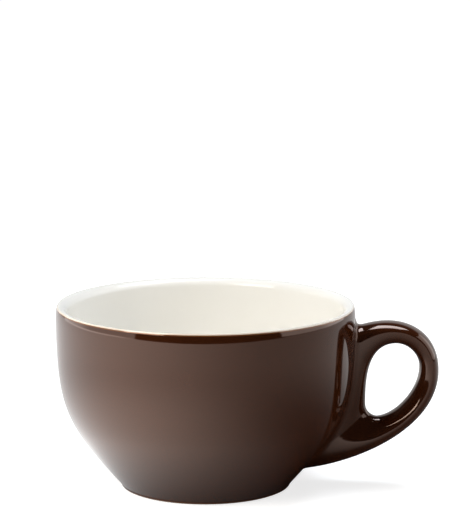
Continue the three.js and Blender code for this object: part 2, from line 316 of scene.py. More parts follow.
@dataclass(frozen=True)
class BowlForm:
    """Sizes and profiles of the bowl. An inset is how deep a face lies below the glazed one."""

    height: float = 68.0
    rim_radius: float = 55.3
    rim_wall: float = 4.2
    foot_wall: float = 6.0
    wall_lean: float = math.radians(0.8)
    flare_angle: float = math.radians(41.3)
    lower_belly_pull: float = 31.8
    upper_belly_pull: float = 34.0
    floor_rounding_share: float = 3 / 11
    lip_crest: float = 0.9
    lip_outer_drop: float = 4.5
    lip_inner_drop: float = 3.0
    foot_radius: float = 31.6
    foot_edge: float = 1.2
    foot_ring_width: float = 3.4
    recess_depth: float = 2.8
    recess_rounding: float = 1.6
    base_thickness: float = 4.4
    rim_colour_line: float = 0.5
    foot_colour_line: float = 0.3
    recess_colour_line: float = 0.8
    segments: int = 192
    wall_steps: int = 72
    round_steps: int = 12
    corner_steps: int = 24
    floor_steps: int = 12

    @property
    def crest_radius(self) -> float:
        """Radius of the lip's highest line."""
        return self.rim_radius - self.lip_crest

    @property
    def lip_start(self) -> float:
        """Height where the lip's outer round begins."""
        return self.height - self.lip_outer_drop

    @property
    def rim_line(self) -> float:
        """Height where the brown ends and the cream begins."""
        return self.height - self.rim_colour_line

    @property
    def contact_radius(self) -> float:
        """Radius where the foot leaves the table."""
        return self.foot_radius - self.foot_edge

    @property
    def recess_radius(self) -> float:
        """Radius of the recess under the base."""
        return self.contact_radius - self.foot_ring_width

    @property
    def floor_height(self) -> float:
        """Height of the floor inside."""
        return self.recess_depth + self.base_thickness

    @property
    def around(self) -> Array:
        """Angles of the columns about the axis."""
        return np.arange(self.segments) * (2 * math.pi / self.segments)

    @cached_property
    def wall_control(self) -> Array:
        """The outer wall's control points, from the flare above the foot to the lip.

        Returns:
            Four pairs of radius and height.
        """
        low = np.array([self.foot_radius, self.foot_edge])
        high = np.array([self.rim_radius, self.lip_start])
        flare = np.array([math.sin(self.flare_angle), math.cos(self.flare_angle)])
        lean = np.array([math.sin(self.wall_lean), math.cos(self.wall_lean)])
        lower = low + self.lower_belly_pull * flare
        upper = high - self.upper_belly_pull * lean
        return np.stack([low, lower, upper, high])

    def wall(self, share: Array, inset: Array | float) -> Array:
        """The outer wall's cubic, moved in along its normal, which is its tangent turned a quarter.

        Args:
            share: places up the wall, 0 to 1.
            inset: depth below the glazed face.

        Returns:
            Pairs of radius and height.
        """
        tangent = bezier(np.diff(self.wall_control, axis=0), share)
        tangent /= np.linalg.norm(tangent, axis=1, keepdims=True)
        normal = np.stack([tangent[:, 1], -tangent[:, 0]], axis=1)
        depth = np.broadcast_to(inset, share.shape)[:, None]
        return bezier(self.wall_control, share) - normal * depth

    def on_wall(self, around: Array, share: Array, inset: float) -> Array:
        """Points of the outer wall: (radius cos angle, radius sin angle, height).

        Args:
            around: angles about the axis.
            share: places up the wall, 0 to 1.
            inset: depth below the glazed face.

        Returns:
            One point for each angle and place.
        """
        profile = self.wall(share.ravel(), inset).reshape(*share.shape, 2)
        radius = profile[..., 0]
        across = [radius * np.cos(around), radius * np.sin(around)]
        return np.stack([*across, profile[..., 1]], axis=-1)

    def lip_outer(self, inset: float, start: float, end: float) -> Array:
        """The lip's outer round, a quarter oval that is taken between two heights.

        Args:
            inset: depth below the glazed face.
            start: the lower height.
            end: the upper height.

        Returns:
            Pairs of radius and height, upwards.
        """
        centre = np.array([self.crest_radius, self.lip_start])
        reach = np.array([self.lip_crest, self.lip_outer_drop]) - inset
        angles = np.arcsin(np.clip((np.array([start, end]) - centre[1]) / reach[1], 0, 1))
        return quarter(centre, reach, *angles, self.round_steps)

    def lip_inner(self, inset: float) -> Array:
        """The lip's inner round, a quarter oval from its crest down to the inner wall.

        Args:
            inset: depth below the glazed face.

        Returns:
            Pairs of radius and height, downwards.
        """
        centre = np.array([self.crest_radius, self.height - self.lip_inner_drop])
        reach = np.array([self.rim_wall - self.lip_crest, self.lip_inner_drop]) - inset
        return quarter(centre, reach, math.pi / 2, math.pi, self.round_steps)

    def inside(self, inset: float) -> Array:
        """The inside, down from under the lip: the outer wall moved in by the wall's thickness,
        then a parabola that leaves the wall and meets the floor at equal distances from their
        corner, then the floor.

        Args:
            inset: depth below the glazed face.

        Returns:
            Pairs of radius and height, ending on the axis.
        """
        share = np.linspace(1, self.floor_rounding_share, self.wall_steps + 1)
        thickness = self.foot_wall + (self.rim_wall - self.foot_wall) * share
        wall = self.wall(share, thickness - inset)
        wall = wall[wall[:, 1] < self.height - self.lip_inner_drop]
        floor = self.floor_height - inset
        along = wall[-1] - wall[-2]
        knee = wall[-1] + along * (floor - wall[-1, 1]) / along[1]
        edge = knee - [np.linalg.norm(knee - wall[-1]), 0]
        steps = np.linspace(0, 1, self.corner_steps + 1)
        corner = bezier(np.stack([wall[-1], knee, edge]), steps)
        inwards = np.linspace(1, 0, self.floor_steps + 1)[1:, None]
        return np.concatenate([wall[:-1], corner, edge * inwards * [1, 0] + [0, floor]])

    def foot_round(self, inset: float, start: float) -> Array:
        """The foot's rounded outer edge, a quarter oval from a height up to the wall.

        Args:
            inset: depth below the glazed face.
            start: the height.

        Returns:
            Pairs of radius and height, upwards.
        """
        centre = np.array([self.contact_radius, self.foot_edge])
        reach = np.array([self.foot_edge - inset, self.foot_edge])
        first = math.asin(start / self.foot_edge - 1)
        return quarter(centre, reach, first, 0, self.round_steps)

    def recess(self, lining: float, bottom: float) -> Array:
        """The recess under the base: a flat ceiling, a quarter round and an upright side.

        Args:
            lining: how far the face stands into the recess.
            bottom: height at which the side ends.

        Returns:
            Pairs of radius and height, from the axis outwards.
        """
        rounding = self.recess_rounding - lining
        ceiling = self.recess_depth + CLAY_INSET - lining
        side = self.recess_radius - lining
        centre = np.array([side - rounding, ceiling - rounding])
        reach = np.array([rounding, rounding])
        corner = quarter(centre, reach, math.pi / 2, 0, self.round_steps)
        outwards = np.linspace(0, 1, self.floor_steps + 1)[:-1, None]
        flat = centre[:1] * outwards * [1, 0] + [0, ceiling]
        return np.concatenate([flat, corner, [[side, bottom]]])


@dataclass(frozen=True)
class HandleForm:
    """Sizes of the ear-shaped handle: oval sections round the finger hole, filleted to the wall."""

    bowl: BowlForm
    hole_centre_out: float = 11.2
    hole_centre_down: float = 34.0
    hole_up: float = 19.5
    hole_top_out: float = 3.8
    hole_out: float = 12.6
    hole_tip_up: float = 10.6
    hole_down: float = 8.3
    hole_bottom_in: float = 3.0
    hole_in: float = 7.3
    hole_back_down: float = 3.1
    hole_top_pull_in: float = 10.2
    hole_top_pull_out: float = 4.6
    hole_tip_pull_up: float = 4.5
    hole_tip_pull_down: float = 9.6
    hole_bottom_pull_out: float = 6.0
    hole_bottom_pull_in: float = 0.8
    hole_back_pull_down: float = 4.2
    hole_back_pull_up: float = 9.8
    strand_top: float = 8.2
    strand_tip: float = 7.2
    crown_out: float = 0.6
    crown_pull_in: float = 6.0
    crown_pull_out: float = 11.4
    tip_up: float = 9.1
    tip_pull_up: float = 11.4
    tip_pull_down: float = 24.2
    tail_rise: float = 5.7
    tail_pull: float = 16.6
    tip_width: float = 12.0
    ridge_share: float = 0.65
    face_flatness: float = 0.125
    face_flattest: float = math.radians(130)
    arris_shares: tuple[float, float] = (0.34, 0.52)
    arris_rounding: float = 0.035
    arris_flanks: tuple[float, float] = (0.22, 0.5)
    arris_height: float = 0.5
    arris_run: tuple[float, float] = (math.radians(258), math.radians(350))
    arris_starts: tuple[float, float] = (math.radians(236), math.radians(282))
    arris_ends: tuple[float, float] = (math.radians(350), math.radians(395))
    root_fall: float = 3.1
    root_width: float = 14.4
    root_depth: float = 11.0
    root_fillet: float = 2.5
    root_sink: float = 3.0
    outline_steps: int = 600
    table_steps: int = 4800
    free_sections: int = 140
    skin_steps: int = 60
    edge_crowding: float = 1.6
    halvings: int = 44
    slope_step: float = 0.05
    turn_step: float = 0.002
    facing_limit: float = 0.9999

    @property
    def reach(self) -> float:
        """How far the handle stands out from the rim."""
        return self.hole_centre_out + self.hole_out + self.strand_tip

    @property
    def centre(self) -> Array:
        """The point in the finger hole that angles are taken about, by its radius and height."""
        radius = self.bowl.rim_radius + self.hole_centre_out
        return np.array([radius, self.bowl.height - self.hole_centre_down])

    @cached_property
    def wall_table(self) -> tuple[Array, Array]:
        """Close places up the wall and their radius and height, for looking up one by another."""
        share = np.linspace(0, 1, self.table_steps)
        return share, self.bowl.wall(share, 0.0)

    def wall_radius(self, height: Array | float) -> Array:
        """The outer wall's radius at a height."""
        _, wall = self.wall_table
        return np.interp(height, wall[:, 1], wall[:, 0])

    def wall_slope(self, height: Array) -> Array:
        """How fast the wall's radius grows with height."""
        step = self.slope_step
        return (self.wall_radius(height + step) - self.wall_radius(height - step)) / (2 * step)

    def wall_normal(self, point: Array) -> Array:
        """The direction that faces out of the wall: outwards from the axis, less the slope upwards.

        Args:
            point: points beside the wall.

        Returns:
            One unit direction for each point.
        """
        around = np.arctan2(point[..., 1], point[..., 0])
        out = np.stack([np.cos(around), np.sin(around), -self.wall_slope(point[..., 2])], axis=-1)
        return out / np.linalg.norm(out, axis=-1, keepdims=True)

    def clearance(self, point: Array, inset: float) -> Array:
        """How far each point stands out from the wall's face at an inset."""
        gap = np.hypot(point[..., 0], point[..., 1]) - self.wall_radius(point[..., 2])
        return gap / np.hypot(1, self.wall_slope(point[..., 2])) + inset

    def sweep(self, start: Array, start_pull: Array, end_pull: Array, end: Array) -> Array:
        """A cubic between two places that keeps the pull's direction at each end."""
        control = np.array([start, np.add(start, start_pull), np.add(end, end_pull), end])
        return bezier(control, np.linspace(0, 1, self.outline_steps))

    @cached_property
    def hole_outline(self) -> tuple[Array, Array]:
        """The finger hole, an egg of four cubics with its narrow end low by the wall.

        Returns:
            Angles about the hole's centre and distances from it.
        """
        top = (self.hole_top_out, self.hole_up)
        tip = (self.hole_out, self.hole_tip_up)
        bottom = (-self.hole_bottom_in, -self.hole_down)
        back = (-self.hole_in, -self.hole_back_down)
        return self.polar(
            self.sweep(top, (self.hole_top_pull_out, 0), (0, self.hole_tip_pull_up), tip),
            self.sweep(tip, (0, -self.hole_tip_pull_down), (self.hole_bottom_pull_out, 0), bottom),
            self.sweep(
                bottom, (-self.hole_bottom_pull_in, 0), (0, -self.hole_back_pull_down), back
            ),
            self.sweep(back, (0, self.hole_back_pull_up), (-self.hole_top_pull_in, 0), top),
        )

    @cached_property
    def outer_outline(self) -> tuple[Array, Array]:
        """The outer edge: crown, tip and a long tail under the belly, closed inside the wall.

        Returns:
            Angles about the hole's centre and distances from it.
        """
        crown = np.array([self.crown_out, self.hole_up + self.strand_top])
        tip = np.array([self.hole_out + self.strand_tip, self.tip_up])
        tail = [self.wall_radius(self.tail_rise) - self.root_sink, self.tail_rise] - self.centre
        shoulder = np.array([-self.hole_centre_out - self.root_sink, crown[1] - self.root_fall])
        out, up = self.centre
        back = np.array([self.wall_radius(up) - self.root_depth - out, 0])
        share = np.linspace(0, 1, self.outline_steps)
        return self.polar(
            self.sweep(crown, (self.crown_pull_out, 0), (0, self.tip_pull_up), tip),
            self.sweep(tip, (0, -self.tip_pull_down), (self.tail_pull, 0), tail),
            bezier(np.stack([tail, back, shoulder]), share),
            bezier(np.stack([shoulder, crown - [self.crown_pull_in, 0], crown]), share),
        )

    @staticmethod
    def polar(*curves: Array) -> tuple[Array, Array]:
        """Joins curves and puts their points in the order of their angles.

        Args:
            *curves: pairs about the hole's centre, each curve from where the last one ends.

        Returns:
            Angles about the hole's centre and distances from it.
        """
        points = np.concatenate([curve[:-1] for curve in curves])
        angle = np.arctan2(points[:, 1], points[:, 0])
        order = np.argsort(angle)
        return angle[order], np.hypot(*points.T)[order]

    def ring(self, turn: Array, roll: Array, inset: float) -> Array:
        """Points of the ring. Between the hole's edge and the outer edge a section is two quarter
        ovals that meet at a ridge: its distance from the hole's centre is the ridge's less the
        cosine of the roll times the ridge's distance to the edge on that side, and it stands out
        sideways by half the width times the sine. Towards the hole a share of the sine and of the
        sine of three rolls is added, which flattens the face, most of all beside the wall. The
        arris is added by the sine. The width eases from root to tip.

        Args:
            turn: angle round the hole.
            roll: 0 at the hole's edge and pi at the outer edge.
            inset: depth below the glazed face.

        Returns:
            Points on the near side.
        """
        near = np.interp(turn, *self.hole_outline, period=2 * math.pi) + inset
        far = np.interp(turn, *self.outer_outline, period=2 * math.pi) - inset
        middle = (near + far) / 2
        share = eased(middle * np.cos(turn) + self.hole_centre_out, 0, self.reach)
        half_width = (self.root_width + (self.tip_width - self.root_width) * share) / 2 - inset
        ridge = near + (far - near) * self.ridge_share
        inner = roll < math.pi / 2
        distance = ridge - np.where(inner, ridge - near, far - ridge) * np.cos(roll)
        flatness = self.face_flatness * (1 + np.cos(turn - self.face_flattest)) / 2
        flat = np.where(inner, flatness, 0) * (np.sin(roll) + np.sin(3 * roll))
        part = (distance - near) / (far - near)
        sideways = -half_width * (np.sin(roll) + flat) - self.arris(turn, part) * np.sin(roll)
        out, up = self.centre
        return np.stack(
            [out + distance * np.cos(turn), sideways, up + distance * np.sin(turn)], axis=-1
        )

    def arris(self, turn: Array, part: Array) -> Array:
        """How high the arris along the lower strand stands: it falls off exponentially to both
        sides of its line, slower towards the outside, and a hyperbola rounds it.

        Args:
            turn: angle round the hole.
            part: share of the way from the hole's edge to the outer edge.

        Returns:
            One height for each place.
        """
        below = np.mod(turn - math.pi / 2, 2 * math.pi) + math.pi / 2
        shown = eased(below, *self.arris_starts) - eased(below, *self.arris_ends)
        first, last = self.arris_shares
        line = first + (last - first) * eased(below, *self.arris_run)
        away = np.hypot(part - line, self.arris_rounding) - self.arris_rounding
        fall = np.exp(-away / np.where(part < line, *self.arris_flanks))
        return self.arris_height * shown * fall

    def ring_normal(self, turn: Array, roll: Array, inset: float) -> Array:
        """The direction that faces out of the ring: the cross product of small steps both ways.

        Args:
            turn: angle round the hole.
            roll: 0 at the hole's edge and pi at the outer edge.
            inset: depth below the glazed face.

        Returns:
            One unit direction for each place.
        """
        step = self.turn_step
        along = self.ring(turn + step, roll, inset) - self.ring(turn - step, roll, inset)
        across = self.ring(turn, roll + step, inset) - self.ring(turn, roll - step, inset)
        normal = np.cross(across, along)
        return normal / np.maximum(np.linalg.norm(normal, axis=-1, keepdims=True), TINY)

    def filleted(self, turn: Array, roll: Array, inset: float) -> Array:
        """Points of the ring slid along the wall onto the root's fillet, a parabola that touches
        the ring and the wall at the same distance from their corner: the square roots of its
        distances along both add up to the square root of that distance.

        Args:
            turn: angle round the hole.
            roll: 0 at the hole's edge and pi at the outer edge.
            inset: depth below the glazed face.

        Returns:
            Points on the near side.
        """
        point = self.ring(turn, roll, inset)
        normal = self.ring_normal(turn, roll, inset)
        out = self.wall_normal(point)
        facing = np.clip((normal * out).sum(axis=-1), -self.facing_limit, self.facing_limit)
        gap = self.clearance(point, inset)
        rise = np.maximum(gap, 0) / np.sqrt(1 - facing**2)
        reach = self.root_fillet * np.sqrt((1 - facing) / (1 + facing))
        slide = np.where(rise < reach, (np.sqrt(reach) - np.sqrt(rise)) ** 2, 0)
        along = normal - out * facing[..., None]
        along /= np.maximum(np.linalg.norm(along, axis=-1, keepdims=True), TINY)
        moved = point + along * slide[..., None]
        back = np.where(slide > 0, gap - self.clearance(moved, inset), 0)
        return moved + out * back[..., None]

    def where_zero(
        self, sought: Sought, known: Array, low: Array, high: Array, inset: float
    ) -> Array:
        """Halves intervals until they hold the places where the ring meets the wall.

        Args:
            sought: the angle that is sought.
            known: the other angle.
            low: ends of the intervals outside the wall.
            high: ends of the intervals inside it.
            inset: depth below the glazed face.

        Returns:
            The places found.
        """
        for _ in range(self.halvings):
            middle = (low + high) / 2
            place = (known, middle) if sought is Sought.ROLL else (middle, known)
            outside = self.clearance(self.ring(*place, inset), inset) > 0
            low, high = np.where(outside, middle, low), np.where(outside, high, middle)
        return (low + high) / 2

    def root_ends(self, inset: float) -> Array:
        """The turns at which the outer edge runs into the wall.

        Args:
            inset: depth below the glazed face.

        Returns:
            The turn above the hole and the one below it.
        """
        outside, inside = np.array([[1, 3], [2, 2]]) * (math.pi / 2)
        edge = np.full(2, math.pi)
        return self.where_zero(Sought.TURN, edge, outside, inside, inset)

    def last_roll(self, turn: Array, inset: float) -> Array:
        """The roll at which each section of the root meets the wall."""
        low, high = np.zeros_like(turn), np.full_like(turn, math.pi)
        return self.where_zero(Sought.ROLL, turn, low, high, inset)

    def root_turns(self, count: int, inset: float) -> Array:
        """Turns of the root's sections, spread evenly along the root's outline on the wall.

        Args:
            count: number of steps between the first and the last.
            inset: depth below the glazed face.

        Returns:
            One more turn than steps.
        """
        top, end = self.root_ends(inset)
        ease = (1 - np.cos(np.linspace(0, math.pi, self.outline_steps))) / 2
        turn = top + (end - top) * ease
        roll = self.last_roll(turn, inset)
        roll[[0, -1]] = math.pi
        steps = np.linalg.norm(np.diff(self.filleted(turn, roll, inset), axis=0), axis=1)
        length = np.concatenate([[0], np.cumsum(steps)])
        return np.interp(np.linspace(0, length[-1], count + 1), length, turn)


@dataclass(frozen=True)
class BrownCoat:
    """The brown glaze over the outside of the bowl and the handle, in one skin with a thickness."""

    bowl: BowlForm
    handle: HandleForm
    window_columns: int = 12
    window_rows: tuple[int, int] = (2, 70)
    window_steps: int = 10
    window_crowding: float = 1.5

    @property
    def root_steps(self) -> int:
        """Steps down the root's outline, as many as round half the window."""
        low, high = self.window_rows
        return 2 * self.window_columns + high - low

    def window_edge(self) -> tuple[Array, Array]:
        """The window in the wall that takes the root, down its near half from the top middle.

        Returns:
            Angles about the axis and places up the wall.
        """
        low, high = self.window_rows
        count = self.window_columns
        column = -np.arange(count + 1)
        row = np.arange(high, low, -1)
        columns = np.concatenate([column[:-1], np.full(high - low, column[-1]), column[::-1]])
        rows = np.concatenate([np.full(count, high), row, np.full(count + 1, low)])
        return columns * (2 * math.pi / self.bowl.segments), rows / self.bowl.wall_steps

    @staticmethod
    def all_round(half: Array, sign: int) -> Array:
        """A half loop followed by its mirrored half, with neither end repeated."""
        return np.concatenate([half, sign * half[-2:0:-1]])

    def add_wall(self, skin: Skin, inset: float, facing: Facing) -> None:
        """Adds the turned wall between the colour lines of foot and rim, with the window left open.

        Args:
            skin: the mesh that takes the grid.
            inset: depth below the glazed face.
            facing: the side that shows.
        """
        bowl = self.bowl
        share = np.arange(bowl.wall_steps + 1) / bowl.wall_steps
        foot = bowl.foot_round(inset, bowl.foot_colour_line)
        lip = bowl.lip_outer(inset, bowl.lip_start, bowl.rim_line)
        profile = np.concatenate([foot[:-1], bowl.wall(share, inset), lip[1:]])
        keep = np.ones((len(profile) - 1, bowl.segments), bool)
        low, high = np.add(self.window_rows, len(foot) - 1)
        keep[low:high, : self.window_columns] = False
        keep[low:high, -self.window_columns :] = False
        skin.add(turned(profile, bowl.around), facing, closed=True, keep=keep)

    def handle_half(self, inset: float) -> Array:
        """The near half of the handle's skin: the root's sections, which end on the wall, and then
        the free ones up to the first again. Rolls crowd towards the outer edge by a power.

        Args:
            inset: depth below the glazed face.

        Returns:
            A grid of points, one section a row, from the hole's edge outwards.
        """
        handle = self.handle
        root_turn = handle.root_turns(self.root_steps, inset)
        again = root_turn[0] + 2 * math.pi
        free_turn = np.linspace(root_turn[-1], again, handle.free_sections + 1)[1:]
        last = handle.last_roll(root_turn, inset)
        last[[0, -1]] = math.pi
        turn = np.concatenate([root_turn, free_turn])[:, None]
        last = np.concatenate([last, np.full(len(free_turn), math.pi)])[:, None]
        left = 1 - np.arange(handle.skin_steps + 1) / handle.skin_steps
        roll = last * (1 - left**handle.edge_crowding)
        near = handle.filleted(np.broadcast_to(turn, roll.shape), roll, inset)
        near[:, 0, 1] = 0
        near[self.root_steps :, -1, 1] = 0
        near[0, -1, 1] = 0
        return near

    def add_side(self, skin: Skin, inset: float, facing: Facing) -> None:
        """Adds one face of the coat: the wall, the handle's ring, and the frame between the window
        and the root's outline, blended in angle and height on the wall.

        Args:
            skin: the mesh that takes the grids.
            inset: depth below the glazed face.
            facing: the side that shows.
        """
        self.add_wall(skin, inset, facing)
        near = self.handle_half(inset)
        ends = near[: self.root_steps + 1, -1]
        root_around = np.arctan2(ends[:, 1], ends[:, 0])
        places, _ = self.handle.wall_table
        root_share = np.interp(ends[:, 2], self.bowl.wall(places, inset)[:, 1], places)
        near[: self.root_steps + 1, -1] = self.bowl.on_wall(root_around, root_share, inset)
        near[-1] = near[0]
        far = near[:, :0:-1] * [1, -1, 1]
        skin.add(np.concatenate([far, near], axis=1), facing)

        blend = (np.linspace(1, 0, self.window_steps + 1) ** self.window_crowding)[:, None]
        around, height = (
            self.all_round(root, sign) * (1 - blend) + self.all_round(edge, sign) * blend
            for root, edge, sign in zip((root_around, root_share), self.window_edge(), (-1, 1))
        )
        skin.add(self.bowl.on_wall(around, height, inset), facing, closed=True)

    def build(self, centre_x: float) -> Object:
        """Makes the coat: its glazed face, its inner face and the two edges that close it.

        Args:
            centre_x: where the bowl's axis stands.

        Returns:
            The coat.
        """
        bowl = self.bowl
        skin = Skin()
        self.add_side(skin, 0.0, Facing.OUT)
        self.add_side(skin, GLAZE, Facing.IN)
        rim = [bowl.lip_outer(inset, bowl.lip_start, bowl.rim_line)[-1] for inset in (0.0, GLAZE)]
        foot = [bowl.foot_round(inset, bowl.foot_colour_line)[0] for inset in (GLAZE, 0.0)]
        for edge in (rim, foot):
            skin.add(turned(np.stack(edge), bowl.around), closed=True)
        return skin.build("brown_glaze_coat", centre_x)

    def make(self, centre_x: float, glaze: Material) -> None:
        """Builds the coat and dresses it in its glaze."""
        dress(self.build(centre_x), glaze, Slot.BROWN_GLAZE, "brown_glaze")


@dataclass(frozen=True)
class TurnedPieces:
    """The pieces turned about the bowl's axis: clay bowl, cream coat and glaze under the base."""

    bowl: BowlForm

    def revolve(self, name: str, profile: Array, centre_x: float) -> Object:
        """Turns a closed profile about the axis into a piece.

        Args:
            name: the piece's name.
            profile: pairs of radius and height.
            centre_x: where the bowl's axis stands.

        Returns:
            The piece.
        """
        skin = Skin()
        skin.add(turned(profile, self.bowl.around), closed=True)
        return skin.build(name, centre_x)

    def clay_bowl(self) -> Array:
        """The fired clay's profile: recess, bare foot ring, outer wall, lip and inside.

        Returns:
            Pairs of radius and height.
        """
        bowl = self.bowl
        share = np.arange(bowl.wall_steps + 1) / bowl.wall_steps
        profile = [
            bowl.recess(0.0, 0.0),
            bowl.foot_round(CLAY_INSET, 0.0),
            bowl.wall(share, CLAY_INSET)[1:],
            bowl.lip_outer(CLAY_INSET, bowl.lip_start, bowl.height)[1:],
            bowl.lip_inner(CLAY_INSET)[1:],
            bowl.inside(CLAY_INSET),
        ]
        return np.concatenate(profile)

    def cream_side(self, inset: float) -> Array:
        """One face of the cream coat, from the colour line over the lip to the middle of the floor.

        Args:
            inset: depth below the glazed face.

        Returns:
            Pairs of radius and height.
        """
        bowl = self.bowl
        lip = bowl.lip_outer(inset, bowl.rim_line, bowl.height)
        return np.concatenate([lip, bowl.lip_inner(inset)[1:], bowl.inside(inset)])

    def cream_coat(self) -> Array:
        """The profile of the cream glaze over the lip and the inside."""
        return np.concatenate([self.cream_side(GLAZE)[::-1], self.cream_side(0.0)])

    def base_coat(self) -> Array:
        """The profile of the glaze in the recess, inside the bare foot ring.

        Returns:
            Pairs of radius and height.
        """
        bottom = self.bowl.recess_colour_line
        shown = self.bowl.recess(BOND_GAP + GLAZE, bottom)
        hidden = self.bowl.recess(BOND_GAP, bottom)[::-1]
        return np.concatenate([shown, hidden])

    def make(self, centre_x: float, brown: Material, cream: Material, clay: Material) -> None:
        """Builds the three pieces and dresses each in its finish.

        Args:
            centre_x: where the bowl's axis stands.
            brown: the finish under the base.
            cream: the finish inside.
            clay: the finish of the fired clay.
        """
        coat = self.revolve("cream_glaze_coat", self.cream_coat(), centre_x)
        dress(coat, cream, Slot.CREAM_GLAZE, "cream_glaze")
        body = self.revolve("clay_bowl", self.clay_bowl(), centre_x)
        dress(body, clay, Slot.BARE_CLAY, "cup_body")
        base = self.revolve("base_glaze_coat", self.base_coat(), centre_x)
        dress(base, brown, Slot.BROWN_GLAZE, "base_glaze")


@dataclass(frozen=True)
class Ramp:
    """A change from a low level to a high one between two places."""

    start: float
    end: float
    low: float = 0.0
    high: float = 1.0

    def limits(self, unit: float = 1.0) -> dict[str, float]:
        """The limits that a range node takes, with the places counted in a unit of length."""
        places = {"From Min": self.start * unit, "From Max": self.end * unit}
        return {**places, "To Min": self.low, "To Max": self.high}


@dataclass(frozen=True)
class Grain:
    """A noise pattern: how large its marks are, and how many finer layers lie over them."""

    size_mm: float
    layers: int

    def inputs(self, place: NodeSocket) -> dict[str, Any]:
        """What a noise node takes: a place, one over the size in metres, and the finer layers."""
        return {"Vector": place, "Scale": 1 / (self.size_mm * MM), "Detail": self.layers}


@dataclass(frozen=True)
class BrownGlaze:
    """Stoneware glaze, dipped and fired glossy. It pools dark, breaks warm where it runs thin over
    the lip and the foot's edge, and mirrors its surroundings with a faint waviness."""

    pooled: str = "#351809"
    even: str = "#3d1c0b"
    thin: str = "#8a5a38"
    lustre: str = "#ffdfcf"
    drift: Grain = Grain(16.0, 3)
    wave: Grain = Grain(9.0, 1)
    peel: Grain = Grain(1.6, 0)
    peel_share: float = 0.08
    wave_depth_mm: float = 0.006
    roughness: Ramp = Ramp(0.0, 1.0, 0.045, 0.085)
    ior: float = 1.7
    thin_rim_mm: Ramp = Ramp(66.9, 67.5)
    thin_foot_mm: Ramp = Ramp(0.9, 0.3)

    def material(self) -> Material:
        """Makes the material: colour by the glaze's thickness, roughness by its drift, and a
        shallow waviness with a share of finer peel.

        Returns:
            The material.
        """
        made, tree, place = start_finish("glossy_brown_stoneware_glaze")
        drift, wave, peel = (
            add_node(tree, "ShaderNodeTexNoise", grain.inputs(place))
            for grain in (self.drift, self.wave, self.peel)
        )
        height = add_node(tree, "ShaderNodeSeparateXYZ", {0: place}).outputs["Z"]
        rim, foot = (
            add_node(tree, "ShaderNodeMapRange", {"Value": height, **ramp.limits(MM)}, **SMOOTH)
            for ramp in (self.thin_rim_mm, self.thin_foot_mm)
        )
        thin = add_node(tree, "ShaderNodeMath", {0: rim, 1: foot}, operation="MAXIMUM")
        rough = add_node(tree, "ShaderNodeMapRange", {"Value": drift, **self.roughness.limits()})
        waviness = {0: peel, 1: self.peel_share, 2: wave}
        relief = add_node(tree, "ShaderNodeMath", waviness, operation="MULTIPLY_ADD")
        layers = ((drift, self.even), (thin, self.thin))
        gloss = {"Roughness": rough, "IOR": self.ior, "Specular Tint": linear(self.lustre)}
        close_finish(tree, self.pooled, layers, relief, self.wave_depth_mm, gloss)
        return made


@dataclass(frozen=True)
class CreamGlaze:
    """White tin-like glaze over buff clay. It is glossy and slightly warm, and warmer where it runs
    thin over the lip's outer side."""

    thick: str = "#f8f6f1"
    warm: str = "#f6f3ec"
    lip: str = "#f6ead9"
    drift: Grain = Grain(22.0, 3)
    wave: Grain = Grain(8.0, 1)
    wave_depth_mm: float = 0.005
    roughness: Ramp = Ramp(0.0, 1.0, 0.08, 0.14)
    ior: float = 1.5
    lip_mm: Ramp = Ramp(54.2, 54.8)

    def material(self, centre_x: float) -> Material:
        """Makes the material: two near creams that drift, a warmer outer edge by the distance from
        the axis, and a shallow waviness.

        Args:
            centre_x: where the bowl's axis stands.

        Returns:
            The material.
        """
        made, tree, place = start_finish("glossy_cream_glaze")
        drift, wave = (
            add_node(tree, "ShaderNodeTexNoise", grain.inputs(place))
            for grain in (self.drift, self.wave)
        )
        level = {0: place, 1: (1, 1, 0)}
        flat = add_node(tree, "ShaderNodeVectorMath", level, operation="MULTIPLY")
        ends = {0: flat, 1: (centre_x * MM, 0, 0)}
        radius = add_node(tree, "ShaderNodeVectorMath", ends, operation="DISTANCE").outputs["Value"]
        limits = {"Value": radius, **self.lip_mm.limits(MM)}
        thin = add_node(tree, "ShaderNodeMapRange", limits, **SMOOTH)
        rough = add_node(tree, "ShaderNodeMapRange", {"Value": drift, **self.roughness.limits()})
        layers = ((drift, self.warm), (thin, self.lip))
        gloss = {"Roughness": rough, "IOR": self.ior}
        close_finish(tree, self.thick, layers, wave, self.wave_depth_mm, gloss)
        return made


@dataclass(frozen=True)
class BareClay:
    """Buff stoneware, fired bare and wiped. It is matt, with fine grog and darker iron specks."""

    pale: str = "#d9cdb9"
    dark: str = "#bda98d"
    speck: str = "#6f5740"
    grain: Grain = Grain(0.7, 4)
    grain_depth_mm: float = 0.05
    speck_mm: float = 1.8
    speck_edge: Ramp = Ramp(0.16, 0.08)
    roughness: float = 0.86

    def material(self) -> Material:
        """Makes the material: two clay tones by grain, sparse specks and a gritty relief.

        Returns:
            The material.
        """
        made, tree, place = start_finish("bare_buff_stoneware")
        grain = add_node(tree, "ShaderNodeTexNoise", self.grain.inputs(place))
        spread = {"Vector": place, "Scale": 1 / (self.speck_mm * MM)}
        cell = add_node(tree, "ShaderNodeTexVoronoi", spread)
        speck = add_node(tree, "ShaderNodeMapRange", {"Value": cell, **self.speck_edge.limits()})
        layers = ((grain, self.dark), (speck, self.speck))
        matt = {"Roughness": self.roughness}
        close_finish(tree, self.pale, layers, grain, self.grain_depth_mm, matt)
        return made


